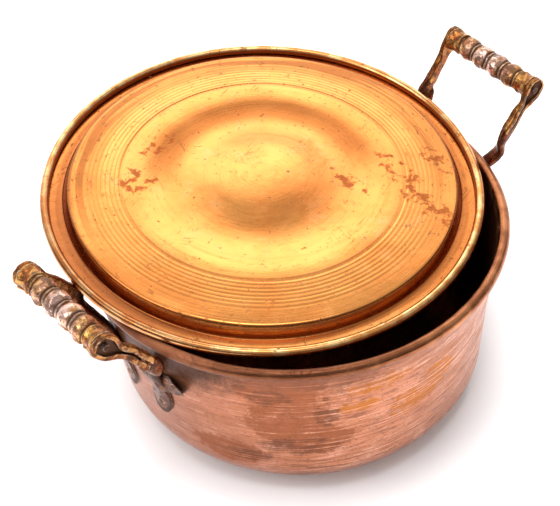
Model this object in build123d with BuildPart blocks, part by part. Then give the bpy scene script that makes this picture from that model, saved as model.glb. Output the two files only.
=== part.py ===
from build123d import *
from math import asin, atan2, cos, degrees, radians, sin, sqrt, tan
import os

# Two-handled copper cooking pot with a loose lid. Millimetres, +Z up.
# The origin is the centre of the flat base. The handles stand to the right (+X) and to the left (-X).

# Pot, with all radii measured from the pot's axis
rim_radius = 125.0  # over the rolled rim
pot_height = 119.8  # from the base to the top of the rolled rim
pot_sheet = 1.2
pot_wire_radius = 2.1
flat_base_radius = 82.0
corner_radius = 30.0  # outside radius of the rounded lower edge
pot_curl_sweep = 285.0  # how far the sheet is rolled round the rim wire, in degrees

# Lid, with all radii measured from the lid's axis and heights above its rim wire
lid_radius = 129.0
lid_sheet = 1.0
lid_wire_radius = 1.6
lid_offset = (-0.9, 24.4)  # how far the lid lies off the pot's axis, along X and Y
lid_tilt = 4.0  # degrees, with the +Y side up
lid_rise = 9.4  # lid wire centre above the pot's rim wire, on the lid's axis
lid_dome_radius = 30.0  # where the central dome is steepest
lid_dome_slope = 9.0
lid_valley_end = 66.0  # where the rise out of the valley is steepest
lid_valley_slope = 7.0
lid_shoulder = 83.0  # where the flat band starts
lid_band_slope = 3.0  # the band falls outward
lid_step_foot = 116.8  # where the flange turns up into the step
lid_step_slope = 64.0
lid_step_run = 6.2
lid_step_bend = 1.6
lid_curl_sweep = 290.0

# Handles. The two are bent a little differently, so what differs is given by side.
handle_azimuths = {"right": -2.6, "left": 181.2}  # degrees from +X
handle_lean = 52.0  # slope of the arms above the horizontal
grip_reach = {"right": 156.0, "left": 153.0}  # from the pot's axis to the grip's axis
grip_rise = {"right": 36.0, "left": 31.0}  # grip's axis above the rim wire
arm_length = {"right": 31.0, "left": 39.0}  # from the grip's axis to the end of the sleeve
leg_drop = {"right": 8.0, "left": 5.5}  # how far the leg runs straight down outside the rim
grip_span = 73.0  # over the outer faces of the two cheeks
cheek_thickness = 3.2
bead_count = 4
bead_pitch = 12.0
bead_crest_radius = 7.0
bead_groove_radius = 5.6
collar_width = 1.3
collar_radius = 6.1
ferrule_radius = 7.1
ferrule_waist_radius = 6.4
rod_radius = 2.0
peened_head_radius = 3.2
peened_head_height = 1.0
cheek_gap = 0.02  # between the peened head and the cheek

# Arms: folded sleeves from the grip down to the brackets
arm_width = 6.6
arm_thickness = 4.8
arm_head_height = 7.4
arm_neck = 15.0  # where the head has narrowed to the arm's width
arm_corner = 1.6
seam_width = 1.2
seam_depth = 0.9
socket_depth = 9.0
tang_width = 3.8
tang_thickness = 2.4
tang_inset = 1.0  # from the arm's inner face to the bracket's tang

# Brackets: legs that bend in under the rim and spread into a foot on the wall
leg_radius = 2.6
leg_knee = 4.0  # how far below the arm's end the leg turns straight down
leg_bends = (5.0, 5.0, 8.0)  # bend radii at the knee, below the rim and at the wall
foot_to_landing = 19.0  # height above the foot's centre where the leg reaches the wall
leg_stand_off = 3.4  # leg centre from the wall, where it meets the foot
foot_swing = 10.0  # degrees from the middle of the handle to each foot's centre
foot_drop = 41.0  # foot centre below the rim wire
foot_gap = 0.02  # between the foot and the wall
foot_thickness = 1.6
foot_hub_radius = 6.5
petal_width = 11.0
outer_petal_length = 22.0  # the upper petal that points away from the middle of the handle
inner_petal_length = 13.0
lower_petal_length = 27.0
upper_petal_rise = 30.0  # degrees that the upper petals point above the horizontal
rivet_reach = 0.62  # how far out in each petal its rivet is
rivet_radius = 1.5
rivet_head_radius = 2.8
rivet_head_height = 0.9
rivet_inner_gap = 0.06  # keeps the flat inner head clear of the curved wall
rivet_outer_gap = 0.02

# Derived sizes of the pot's section
pot_bead_radius = pot_wire_radius + pot_sheet
pot_bead_circle = rim_radius - pot_bead_radius
rim_level = pot_height - pot_bead_radius
corner_to_wire = Vector(pot_bead_circle - flat_base_radius, rim_level - corner_radius)
wall_lean = degrees(
    atan2(corner_to_wire.X, corner_to_wire.Y)
    - asin((corner_radius + pot_wire_radius) / corner_to_wire.length)
)
wall_length = sqrt(corner_to_wire.length**2 - (corner_radius + pot_wire_radius) ** 2)
wall_foot = Vector(
    flat_base_radius + corner_radius * cos(radians(wall_lean)),
    corner_radius - corner_radius * sin(radians(wall_lean)),
)
wall_direction = Vector(sin(radians(wall_lean)), cos(radians(wall_lean)))
wall_normal = Vector(cos(radians(wall_lean)), -sin(radians(wall_lean)))

# Derived sizes of the lid
lid_bead_radius = lid_wire_radius + lid_sheet
lid_bead_circle = lid_radius - lid_bead_radius
lid_plane = Plane(
    origin=(*lid_offset, rim_level + lid_rise),
    x_dir=(1, 0, 0),
    z_dir=(0, -sin(radians(lid_tilt)), cos(radians(lid_tilt))),
)
lid_axis = Axis(lid_plane.origin, lid_plane.z_dir)
lid_section_plane = Plane(origin=lid_plane.origin, x_dir=lid_plane.x_dir, z_dir=-lid_plane.y_dir)

# Derived sizes of the handles
grip_length = grip_span - 2 * cheek_thickness
bead_length = bead_count * bead_pitch
arm_direction = Vector(-cos(radians(handle_lean)), 0, -sin(radians(handle_lean)))


def outer_wall_radius(height):
    """Radius of the pot's outer face at a height in its straight wall."""
    return wall_foot.X + (height - wall_foot.Y) * tan(radians(wall_lean))


def wall_plane(azimuth, height):
    """Plane on the outer face of the wall: x runs along the wall, z points out of it."""
    radius = outer_wall_radius(height)
    around = Vector(-sin(radians(azimuth)), cos(radians(azimuth)), 0)
    outward = Vector(
        cos(radians(wall_lean)) * cos(radians(azimuth)),
        cos(radians(wall_lean)) * sin(radians(azimuth)),
        -sin(radians(wall_lean)),
    )
    origin = (radius * cos(radians(azimuth)), radius * sin(radians(azimuth)), height)
    return Plane(origin=origin, x_dir=around, z_dir=outward)


def handle_frame(azimuth):
    """Plane at the rim's level: x points out through the handle, y runs along the grip."""
    outward = (cos(radians(azimuth)), sin(radians(azimuth)), 0)
    return Plane(origin=(0, 0, rim_level), x_dir=outward, z_dir=(0, 0, 1))


def polar(distance, angle):
    """Point in a sketch at a distance and an angle from its origin."""
    return (distance * cos(radians(angle)), distance * sin(radians(angle)))


def petals(end):
    """Angle and length of each petal of a foot, in the plane of its wall."""
    outer_angle = 90 - end * (90 - upper_petal_rise)
    inner_angle = 90 + end * (90 - upper_petal_rise)
    return [
        (outer_angle, outer_petal_length),
        (inner_angle, inner_petal_length),
        (270, lower_petal_length),
    ]


# Along the grip, +1 is the end that the handle's y axis points to. For both handles the end
# nearer to +Y is called rear.
end_names = {
    "right": {1: "rear", -1: "front"},
    "left": {1: "front", -1: "rear"},
}
foot_height = rim_level - foot_drop


def foot_azimuth(side, end):
    return handle_azimuths[side] + end * foot_swing


def rivet_planes(side, end):
    """One plane for each rivet of a foot, on the wall under its petal."""
    planes = []
    for angle, length in petals(end):
        spot = polar(rivet_reach * length, angle)
        height = foot_height + spot[1] * cos(radians(wall_lean))
        along_wall = degrees(spot[0] / outer_wall_radius(height))
        planes.append(wall_plane(foot_azimuth(side, end) + along_wall, height))
    return planes


os.makedirs("parts", exist_ok=True)


def save(part, name):
    part.label = name
    export_step(part, f"parts/{name}.step")


# ---------------------------------------------------------------- pot
with BuildPart() as pot_body:
    with BuildSketch(Plane.XZ):
        with BuildLine():
            base = Line((0, pot_sheet / 2), (flat_base_radius, pot_sheet / 2))
            corner = JernArc(base @ 1, base % 1, corner_radius - pot_sheet / 2, 90 - wall_lean)
            wall = Line(corner @ 1, corner @ 1 + (corner % 1) * wall_length)
            JernArc(wall @ 1, wall % 1, pot_wire_radius + pot_sheet / 2, -pot_curl_sweep)
        trace(line_width=pot_sheet)
    revolve(axis=Axis.Z)
    for side in handle_azimuths:
        for plane in rivet_planes(side, -1) + rivet_planes(side, 1):
            with BuildSketch(plane.offset(-2 * pot_sheet)):
                Circle(rivet_radius)
            extrude(amount=3 * pot_sheet, mode=Mode.SUBTRACT)
save(pot_body.part, "pot_body")

with BuildPart() as pot_rim_wire:
    with BuildSketch(Plane.XZ):
        with Locations((pot_bead_circle, rim_level)):
            Circle(pot_wire_radius)
    revolve(axis=Axis.Z)
save(pot_rim_wire.part, "pot_rim_wire")

# ---------------------------------------------------------------- lid
# The sheet's middle line starts at the rolled edge and runs inward to the axis.
with BuildPart() as lid_body:
    with BuildSketch(lid_section_plane):
        with BuildLine():
            # The curl goes over the wire and under it, and runs out flat into the flange.
            curl_radius = lid_wire_radius + lid_sheet / 2
            curl_start = lid_curl_sweep - 90
            curl = CenterArc((lid_bead_circle, 0), curl_radius, curl_start, -lid_curl_sweep)
            flange = Line(curl @ 1, (lid_step_foot, (curl @ 1).Y))
            foot_bend = JernArc(flange @ 1, flange % 1, lid_step_bend, -lid_step_slope)
            step = Line(foot_bend @ 1, foot_bend @ 1 + (foot_bend % 1) * lid_step_run)
            edge_bend = JernArc(step @ 1, step % 1, lid_step_bend, lid_step_slope - lid_band_slope)
            band_run = (edge_bend @ 1).X - lid_shoulder
            band_top = (edge_bend @ 1).Y + band_run * tan(radians(lid_band_slope))
            band = Line(edge_bend @ 1, (lid_shoulder, band_top))
            shoulder = JernArc(
                band @ 1,
                band % 1,
                (lid_shoulder - lid_valley_end)
                / (sin(radians(lid_band_slope)) + sin(radians(lid_valley_slope))),
                lid_band_slope + lid_valley_slope,
            )
            valley_turn = lid_valley_slope + lid_dome_slope
            valley = JernArc(
                shoulder @ 1,
                shoulder % 1,
                ((shoulder @ 1).X - lid_dome_radius)
                / (sin(radians(lid_valley_slope)) + sin(radians(lid_dome_slope))),
                -valley_turn,
            )
            JernArc(
                valley @ 1,
                valley % 1,
                (valley @ 1).X / sin(radians(lid_dome_slope)),
                lid_dome_slope,
            )
        trace(line_width=lid_sheet)
    revolve(axis=lid_axis)
save(lid_body.part, "lid_body")

with BuildPart() as lid_rim_wire:
    with BuildSketch(lid_section_plane):
        with Locations((lid_bead_circle, 0)):
            Circle(lid_wire_radius)
    revolve(axis=lid_axis)
save(lid_rim_wire.part, "lid_rim_wire")

# ---------------------------------------------------------------- handles
for side, azimuth in handle_azimuths.items():
    frame = handle_frame(azimuth)
    outward = frame.x_dir
    along = frame.y_dir
    grip_centre = frame.from_local_coords(Vector(grip_reach[side], 0, grip_rise[side]))
    # Section plane of the turned pieces: x along the grip, y up.
    turning_plane = Plane(origin=grip_centre, x_dir=along, z_dir=outward)
    grip_axis = Axis(grip_centre, along)

    with BuildPart() as grip:
        with BuildSketch(turning_plane):
            for index in range(bead_count):
                start = -bead_length / 2 + index * bead_pitch
                with BuildLine():
                    bottom = Line((start, rod_radius), (start + bead_pitch, rod_radius))
                    rise = Line(bottom @ 1, (start + bead_pitch, bead_groove_radius))
                    crest = (start + bead_pitch / 2, bead_crest_radius)
                    ThreePointArc(rise @ 1, crest, (start, bead_groove_radius))
                    Line((start, bead_groove_radius), bottom @ 0)
                make_face()
            for index in range(1, bead_count):
                with Locations((-bead_length / 2 + index * bead_pitch, (collar_radius + rod_radius) / 2)):
                    Rectangle(collar_width, collar_radius - rod_radius)
        revolve(axis=grip_axis)
    save(grip.part, f"{side}_grip")

    with BuildPart() as rod:
        for end in (-1, 1):
            end_plane = Plane(origin=grip_centre, x_dir=outward, z_dir=along * end)
            with BuildSketch(end_plane):
                Circle(rod_radius)
            extrude(amount=grip_span / 2 + cheek_gap)
            with BuildSketch(end_plane.offset(grip_span / 2 + cheek_gap)):
                Circle(peened_head_radius)
            extrude(amount=peened_head_height, taper=35)
    save(rod.part, f"{side}_grip_rod")

    for end in (-1, 1):
        end_name = end_names[side][end]

        with BuildPart() as ferrule:
            with BuildSketch(turning_plane):
                inner = end * bead_length / 2
                outer = end * grip_length / 2
                with BuildLine():
                    bottom = Line((inner, rod_radius), (outer, rod_radius))
                    face = Line(bottom @ 1, (outer, ferrule_radius))
                    waist = ((inner * 2 + outer) / 3, ferrule_waist_radius)
                    ThreePointArc(face @ 1, waist, (inner, ferrule_waist_radius - 0.2))
                    Line((inner, ferrule_waist_radius - 0.2), bottom @ 0)
                make_face()
            revolve(axis=grip_axis)
        save(ferrule.part, f"{side}_ferrule_{end_name}")

        # Arm plane, on the outer face of the cheek: x runs down the arm, z points away from the grip.
        down_arm = frame.from_local_coords(arm_direction) - frame.origin
        outer_face = grip_centre + along * (end * grip_span / 2)
        arm_plane = Plane(origin=outer_face, x_dir=down_arm, z_dir=along * end)
        length = arm_length[side]
        strap_middle = (arm_neck + length) / 2

        with BuildPart() as arm:
            half_width = arm_width / 2
            with BuildSketch(arm_plane):
                with BuildLine():
                    Polyline(
                        (-arm_head_height, -0.8 * arm_head_height),
                        (0.4 * arm_head_height, -arm_head_height),
                        (arm_neck, -half_width),
                        (length, -half_width),
                        (length, half_width),
                        (arm_neck, half_width),
                        (0.4 * arm_head_height, arm_head_height),
                        (-arm_head_height, 0.8 * arm_head_height),
                        close=True,
                    )
                make_face()
                fillet(vertices(), arm_corner)
            extrude(amount=-arm_thickness)
            with BuildSketch(arm_plane.offset(-cheek_thickness)):
                with Locations((arm_neck, 0)):
                    beside_head = (Align.MAX, Align.CENTER)
                    Rectangle(4 * arm_head_height, 4 * arm_head_height, align=beside_head)
            extrude(amount=-arm_thickness, mode=Mode.SUBTRACT)
            with BuildSketch(arm_plane):
                with Locations((strap_middle, 0)):
                    SlotOverall(length - arm_neck - 2 * arm_corner, seam_width)
            extrude(amount=-seam_depth, mode=Mode.SUBTRACT)
            with BuildSketch(arm_plane.offset(-arm_thickness + tang_inset)):
                with Locations((length - socket_depth / 2, 0)):
                    Rectangle(socket_depth, tang_width)
            extrude(amount=tang_thickness, mode=Mode.SUBTRACT)
            with BuildSketch(arm_plane):
                Circle(rod_radius)
            extrude(amount=-cheek_thickness, mode=Mode.SUBTRACT)
        save(arm.part, f"{side}_arm_{end_name}")

        # The leg runs out of the arm, down outside the rim, in to the wall and down to the foot.
        swing = end * foot_swing
        foot_plane = wall_plane(azimuth + swing, foot_height)
        tang_middle = arm_thickness - tang_inset - tang_thickness / 2
        leg_start = arm_plane.from_local_coords(Vector(length, 0, -tang_middle))
        knee = frame.from_local_coords(
            Vector(grip_reach[side], end * (grip_span / 2 - tang_middle), grip_rise[side])
            + arm_direction * (length + leg_knee)
        )
        ankle = knee - Vector(0, 0, leg_drop[side])
        landing_plane = wall_plane(azimuth + swing, foot_height + foot_to_landing)
        landing = landing_plane.origin + landing_plane.z_dir * leg_stand_off
        leg_end = foot_plane.origin + foot_plane.z_dir * leg_stand_off

        shell_foot = wall_foot + wall_normal * foot_gap

        with BuildPart() as bracket:
            with BuildSketch(Plane.XZ):
                with BuildLine():
                    inner = Line(shell_foot, shell_foot + wall_direction * wall_length)
                    top = Line(inner @ 1, inner @ 1 + wall_normal * foot_thickness)
                    outer = Line(top @ 1, shell_foot + wall_normal * foot_thickness)
                    Line(outer @ 1, inner @ 0)
                make_face()
            revolve(axis=Axis.Z)
            with BuildSketch(foot_plane.offset(-foot_hub_radius)):
                Circle(foot_hub_radius)
                for angle, reach in petals(end):
                    with Locations(Location(polar(reach / 2, angle), angle)):
                        Ellipse(reach / 2, petal_width / 2)
            extrude(amount=3 * foot_hub_radius, mode=Mode.INTERSECT)
            with BuildLine():
                leg_line = FilletPolyline(
                    leg_start, knee, ankle, landing, leg_end, radius=leg_bends
                )
            with BuildSketch(Plane(origin=leg_line @ 0, z_dir=leg_line % 0)):
                Circle(leg_radius)
            sweep()
            with BuildSketch(arm_plane.offset(-arm_thickness + tang_inset)):
                with Locations((length - socket_depth / 2, 0)):
                    Rectangle(socket_depth, tang_width)
            extrude(amount=tang_thickness)
            for plane in rivet_planes(side, end):
                with BuildSketch(plane.offset(-foot_thickness)):
                    Circle(rivet_radius)
                extrude(amount=3 * foot_thickness, mode=Mode.SUBTRACT)
        save(bracket.part, f"{side}_bracket_{end_name}")

    with BuildPart() as rivets:
        for plane in rivet_planes(side, -1) + rivet_planes(side, 1):
            with BuildSketch(plane.offset(-pot_sheet - rivet_inner_gap)):
                Circle(rivet_radius)
            extrude(amount=pot_sheet + rivet_inner_gap + foot_thickness + rivet_outer_gap)
            with BuildSketch(plane.offset(foot_thickness + rivet_outer_gap)):
                Circle(rivet_head_radius)
            extrude(amount=rivet_head_height, taper=35)
            with BuildSketch(plane.offset(-pot_sheet - rivet_inner_gap)):
                Circle(rivet_head_radius)
            extrude(amount=-rivet_head_height, taper=35)
    save(rivets.part, f"{side}_foot_rivets")
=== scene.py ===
import math

import bmesh
import bpy
import numpy as np
from mathutils import Matrix, Vector, noise


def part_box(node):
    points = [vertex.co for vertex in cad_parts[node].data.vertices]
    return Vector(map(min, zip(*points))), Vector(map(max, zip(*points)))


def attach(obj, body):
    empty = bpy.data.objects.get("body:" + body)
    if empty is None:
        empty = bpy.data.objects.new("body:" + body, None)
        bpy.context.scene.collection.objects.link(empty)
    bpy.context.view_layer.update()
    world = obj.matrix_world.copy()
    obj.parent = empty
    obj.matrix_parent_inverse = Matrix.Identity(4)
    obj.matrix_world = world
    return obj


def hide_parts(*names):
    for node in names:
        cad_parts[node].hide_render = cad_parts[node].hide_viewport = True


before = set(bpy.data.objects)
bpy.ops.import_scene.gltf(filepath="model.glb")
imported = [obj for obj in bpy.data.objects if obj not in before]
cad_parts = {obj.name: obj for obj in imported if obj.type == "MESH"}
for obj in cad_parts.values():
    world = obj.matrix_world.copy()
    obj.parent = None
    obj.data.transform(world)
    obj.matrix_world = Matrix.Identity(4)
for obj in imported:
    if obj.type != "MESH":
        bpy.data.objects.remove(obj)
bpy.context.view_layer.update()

MM = 0.001
TAU = math.tau
X, Y, Z = Vector((1, 0, 0)), Vector((0, 1, 0)), Vector((0, 0, 1))


# ---- places and sizes from the frame
def box_centre(node):
    low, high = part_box(node)
    return (Vector(low) + Vector(high)) / 2


def box_size(node):
    low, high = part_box(node)
    return Vector(high) - Vector(low)


# Pot
rim_radius = box_size("pot_body").x / 2
pot_height = box_size("pot_body").z
rim_level = box_centre("pot_rim_wire").z
pot_wire_radius = box_size("pot_rim_wire").z / 2
pot_sheet = pot_height - rim_level - pot_wire_radius
flat_base_radius = 82 * MM
corner_radius = 30 * MM
pot_bead_circle = rim_radius - pot_wire_radius - pot_sheet
wall_across = pot_bead_circle - flat_base_radius
wall_up = rim_level - corner_radius
wall_reach = math.hypot(wall_across, wall_up)
both_radii = corner_radius + pot_wire_radius
wall_lean = math.atan2(wall_across, wall_up) - math.asin(both_radii / wall_reach)
wall_length = math.sqrt(wall_reach**2 - both_radii**2)
wall_foot_radius = flat_base_radius + corner_radius * math.cos(wall_lean)
wall_foot_height = corner_radius - corner_radius * math.sin(wall_lean)
pot_curl = 285  # degrees that the edge is rolled round its wire
# The pot is beaten a little out of true: its base lies off the rim's axis.
base_shift = Vector((2.8, -2.3, 0)) * MM

# Lid
lid_centre = box_centre("lid_rim_wire")
lid_radius = box_size("lid_body").x / 2
lid_wire_radius = 1.6 * MM
lid_wire_circle = box_size("lid_rim_wire").x / 2 - lid_wire_radius
lid_sheet = lid_radius - box_size("lid_rim_wire").x / 2
lid_tilt = math.asin((box_size("lid_rim_wire").z / 2 - lid_wire_radius) / lid_wire_circle)
lid_matrix = Matrix.Translation(lid_centre) @ Matrix.Rotation(lid_tilt, 4, "X")
lid_curl = 290
lid_step_foot = 116.8 * MM
lid_shoulder = 83 * MM
ridge_pitch, ridge_count = 2.6 * MM, 8
wire_slack = 0.97  # a wire's share of the room in its rolled edge
sheet_sharp = 35  # degrees between faces from which an edge of sheet looks sharp

# Handles
grip_centre = {side: box_centre(f"{side}_grip") for side in ("right", "left")}
handle_lean = math.radians(52)
arm_down = Vector((-math.cos(handle_lean), 0, -math.sin(handle_lean)))
arm_across = Vector((math.sin(handle_lean), 0, -math.cos(handle_lean)))
grip_span = 73 * MM
bead_count, bead_pitch = 4, 12 * MM
beads_end = bead_count * bead_pitch / 2
collar_share = 0.14  # of a bead's length
grip_bore = 2.1 * MM
seam_angle = math.radians(-25)  # where the two stamped halves of a grip meet, from outward
rod_radius = 2.0 * MM
rod_head = [(0.02, 1.7), (0.15, 1.8), (0.3, 1.5), (0.4, 0.8)]  # past the tip and radius, in mm
cheek_thickness = 3.2 * MM
cheek_half_width = 7.3 * MM
cheek_height, neck_depth = 7.2 * MM, 15 * MM  # above and below the rod
arm_thickness = 4.8 * MM
arm_half_width = {"right": 3.5 * MM, "left": 4.2 * MM}
arm_length = {"right": 31 * MM, "left": 39 * MM}
arm_bow = {"right": 0.6 * MM, "left": 1.6 * MM}
leg_drop = {"right": 8 * MM, "left": 5.5 * MM}
foot_swing = {"right": math.radians(10), "left": math.radians(8.8)}
foot_height = rim_level - 41 * MM
landing_above_foot = 19 * MM
foot_sheet, foot_hub = 1.3 * MM, 6.0 * MM
hub_height, hub_spread = 1.6 * MM, 5 * MM
petal_width = 15 * MM
lower_petal_turn = {"right": 0.0, "left": 9.0}  # degrees towards the middle of the handle
rivet_radius = 2.5 * MM
rivet_place = 0.62  # of a petal's length
# Along a rivet in mm, and the share of its radius: a flat head inside and a beaten one outside.
rivet_inside = [(-2.1, 0.3), (-2.05, 0.75), (-1.7, 0.95), (-1.28, 1.0), (-1.26, 0.55)]
rivet_outside = [(1.30, 0.55), (1.32, 1.0), (1.75, 0.97), (2.05, 0.75), (2.15, 0.35)]
# For each handle, the name of the end that its own Y axis points to and of the other end.
end_names = {"right": {1: "rear", -1: "front"}, "left": {1: "front", -1: "rear"}}

# Seeds of the unevenness that tells the two handles apart.
grip_seed = {"right": 31, "left": 47}
ferrule_seed = 61
arm_seed = {"right": 80, "left": 85}
strap_seed = {"right": 120, "left": 127}
noise_radius = 0.1  # noise by direction is read here, so that both faces of a sheet move as one


# ---- mesh helpers
class Outline:
    """A line in a section, drawn forward from a start point by straight runs and arcs."""

    def __init__(self, x, y, heading):
        self.points = [Vector((x, y))]
        self.heading = math.radians(heading)

    def ahead(self, length):
        step = Vector((math.cos(self.heading), math.sin(self.heading))) * length
        self.points.append(self.points[-1] + step)

    def step(self, length, parts=1):
        for _ in range(parts):
            self.ahead(length / parts)

    def arc(self, radius, degrees, parts=8):
        """Turns left by the angle, or right where it is negative."""
        turn = math.radians(degrees) / parts
        for _ in range(parts):
            self.heading += turn / 2
            self.ahead(2 * radius * math.sin(abs(turn) / 2))
            self.heading += turn / 2


def both_faces(middle, thickness):
    """The two faces, left and right, of a sheet whose middle line is given."""
    left, right = [], []
    for i, point in enumerate(middle):
        before = middle[max(i - 1, 0)]
        after = middle[min(i + 1, len(middle) - 1)]
        along = (after - before).normalized()
        side = Vector((-along.y, along.x)) * thickness / 2
        left.append(point + side)
        right.append(point - side)
    return left, right


def blend(first, last, share):
    return first * (1 - share) + last * share


def bump(value, centre, width):
    """A smooth bump of height 1 round a centre."""
    return math.exp(-(((value - centre) / width) ** 2))


def smoothstep(low, high, value):
    t = min(1.0, max(0.0, (value - low) / (high - low)))
    return t * t * (3 - 2 * t)


def uneven(place, *waves):
    """Sum of smooth noises, each with the size of its features and its height in mm, and a seed."""
    total = 0.0
    for size, height, seed in waves:
        shift = Vector((seed, seed * 1.7, -seed))
        total += noise.noise(place / (size * MM) + shift) * height * MM
    return total


def steps_round(count):
    return [TAU * i / count for i in range(count)]


def new_object(name, data):
    obj = bpy.data.objects.new(name, data)
    bpy.context.scene.collection.objects.link(obj)
    return obj


class Shell:
    """Collects rings of points, each with values of named marks, into closed skins."""

    def __init__(self):
        self.points = []
        self.faces = []
        self.marks = {}

    def add(self, place, **marks):
        for name in marks:
            self.marks.setdefault(name, [0.0] * len(self.points))
        self.points.append(place)
        for name, values in self.marks.items():
            values.append(marks.get(name, 0.0))
        return len(self.points) - 1

    def turned(self, stations, count, axes, shape, origin=Vector()):
        """Rings round the third axis from (place along it, radius, marks) stations.

        shape(place, direction, radius, along) gives where each point goes.
        """
        first, second, axis = axes
        rings = []
        for along, radius, marks in stations:
            ring = []
            for angle in steps_round(count if radius > 0 else 1):
                direction = first * math.cos(angle) + second * math.sin(angle)
                place = origin + direction * radius + axis * along
                ring.append(self.add(shape(place, direction, radius, along), **marks))
            rings.append(ring)
        return rings

    def join(self, first, second):
        """Faces between two rings of the same count, or between a ring and a single point."""
        count = max(len(first), len(second))
        for i in range(count):
            j = (i + 1) % count
            if len(first) == 1:
                self.faces.append((first[0], second[i], second[j]))
            elif len(second) == 1:
                self.faces.append((first[j], first[i], second[0]))
            else:
                self.faces.append((first[j], first[i], second[i], second[j]))

    def strip(self, rings, closed=False):
        """Faces from each ring to the next, and from the last to the first where it is closed."""
        for first, second in zip(rings, rings[1:] + (rings[:1] if closed else [])):
            self.join(first, second)

    def cap(self, ring):
        middle = Vector((0, 0, 0))
        for index in ring:
            middle += self.points[index] / len(ring)
        marks = {name: values[ring[0]] for name, values in self.marks.items()}
        self.join([self.add(middle, **marks)], ring)

    def skin(self, rings):
        self.strip(rings)
        for end in (rings[0], rings[-1]):
            self.cap(end)

    def make(self, name, matrix=Matrix(), sharp=50):
        """The piece, placed by its matrix, with edges over an angle in degrees left sharp."""
        mesh = bpy.data.meshes.new(name)
        mesh.from_pydata([tuple(p) for p in self.points], [], self.faces)
        for mark, values in self.marks.items():
            mesh.attributes.new(mark, "FLOAT", "POINT").data.foreach_set("value", values)
        bm = bmesh.new()
        bm.from_mesh(mesh)
        bmesh.ops.recalc_face_normals(bm, faces=bm.faces)
        bm.to_mesh(mesh)
        bm.free()
        for polygon in mesh.polygons:
            polygon.use_smooth = True
        mesh.set_sharp_from_angle(angle=math.radians(sharp))
        piece = new_object(name, mesh)
        piece.matrix_world = matrix
        return piece


def lathe(name, stations, count, shape, matrix=Matrix()):
    """Sheet turned round Z from one pole to the other."""
    shell = Shell()
    shell.strip(shell.turned(stations, count, (X, Y, Z), shape))
    return shell.make(name, matrix, sheet_sharp)


def make_wire(name, circle, radius, level, matrix=Matrix()):
    """Wire bent to a ring, a little thinner than the edge that is rolled round it."""
    shell = Shell()
    radius *= wire_slack
    rings = []
    for angle in steps_round(160):
        outward = Vector((math.cos(angle), math.sin(angle), 0))
        ring = []
        for turn in steps_round(10):
            place = outward * (circle + radius * math.cos(turn))
            ring.append(shell.add(place + Z * (level + radius * math.sin(turn))))
        rings.append(ring)
    shell.strip(rings, closed=True)
    return shell.make(name, matrix, sheet_sharp)


# ---- pot
def wall_radius(height):
    """Radius of the outer face of the straight wall."""
    return wall_foot_radius + (height - wall_foot_height) * math.tan(wall_lean)


def base_offset(height):
    """How far the pot's skin is moved sideways at a height."""
    return base_shift * (1 - smoothstep(0, rim_level, height))


def pot_shape(place, outward, radius, height):
    """Leans the pot to its base, beats dents into its wall and waves its rim."""
    direction = Vector((outward.x * noise_radius, outward.y * noise_radius, height))
    wall_start = flat_base_radius + corner_radius * 0.6
    wall_share = smoothstep(0.5 * flat_base_radius, wall_start, radius)
    below_rim = 1 - smoothstep(rim_level - 8 * MM, rim_level, height)
    dents = uneven(direction, (45, 0.45, 3), (16, 0.10, 5)) - 0.3 * MM
    rim_wave = uneven(direction, (60, 0.12, 9)) - 0.12 * MM
    away = dents * wall_share * below_rim + rim_wave * (1 - below_rim)
    return place + base_offset(height) + outward * away


def make_pot():
    base_steps, corner_steps, wall_steps, curl_steps = 10, 18, 26, 28
    line = Outline(0, pot_sheet / 2, 0)
    line.step(flat_base_radius, base_steps)
    line.arc(corner_radius - pot_sheet / 2, 90 - math.degrees(wall_lean), corner_steps)
    line.step(wall_length, wall_steps)
    wall_end = len(line.points)
    line.arc(pot_wire_radius + pot_sheet / 2, -pot_curl, curl_steps)
    inner, outer = both_faces(line.points, pot_sheet)
    loop = [(0, 0, {"inner": 0.0})]
    loop += [(p.y, p.x, {"inner": 0.0}) for p in outer[1:]]
    inside = [(p.y, p.x, {"inner": float(i < wall_end)}) for i, p in enumerate(inner)]
    loop += inside[:0:-1] + [(pot_sheet, 0, {"inner": 1.0})]
    return lathe("pot_copper_sheet", loop, 224, pot_shape)


# ---- lid
def lid_ridges(radius):
    """Height of the band's turned rings, the line at its inner edge and the dome's shoulder."""
    height = -0.30 * bump(radius, lid_shoulder, 0.55 * MM)
    for i in range(1, ridge_count):
        height -= 0.030 * bump(radius, lid_shoulder + i * ridge_pitch, 0.6 * MM)
        height += 0.02 * bump(radius, lid_shoulder + (i - 0.5) * ridge_pitch, 0.8 * MM)
    height += 0.45 * bump(radius, 29 * MM, 13 * MM)
    return height * MM


def lid_line():
    """Middle line of the lid's sheet, from the end of the rolled edge in to the axis."""
    step_slope, band_slope, valley_slope, dome_slope = 64, 3, 7, 9
    bend, riser = 1.6 * MM, 6.2 * MM
    rise_end, dome_radius = 66 * MM, 30 * MM
    curl_radius = lid_wire_radius + lid_sheet / 2
    start = math.radians(lid_curl - 90)
    first = Vector((lid_wire_circle, 0)) + Vector((math.cos(start), math.sin(start))) * curl_radius
    line = Outline(first.x, first.y, lid_curl - 180)
    line.arc(curl_radius, -lid_curl, 28)
    line.step(line.points[-1].x - lid_step_foot, 8)
    line.arc(bend, -step_slope, 8)
    line.step(riser, 8)
    line.arc(bend, step_slope - band_slope, 8)
    line.step((line.points[-1].x - lid_shoulder) / math.cos(math.radians(band_slope)), 76)
    band, valley, dome = (math.sin(math.radians(a)) for a in (band_slope, valley_slope, dome_slope))
    line.arc((lid_shoulder - rise_end) / (band + valley), band_slope + valley_slope, 14)
    rise = line.points[-1].x - dome_radius
    line.arc(rise / (valley + dome), -(valley_slope + dome_slope), 22)
    line.arc(line.points[-1].x / dome, dome_slope, 18)
    line.points[-1].x = 0
    return line.points


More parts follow.
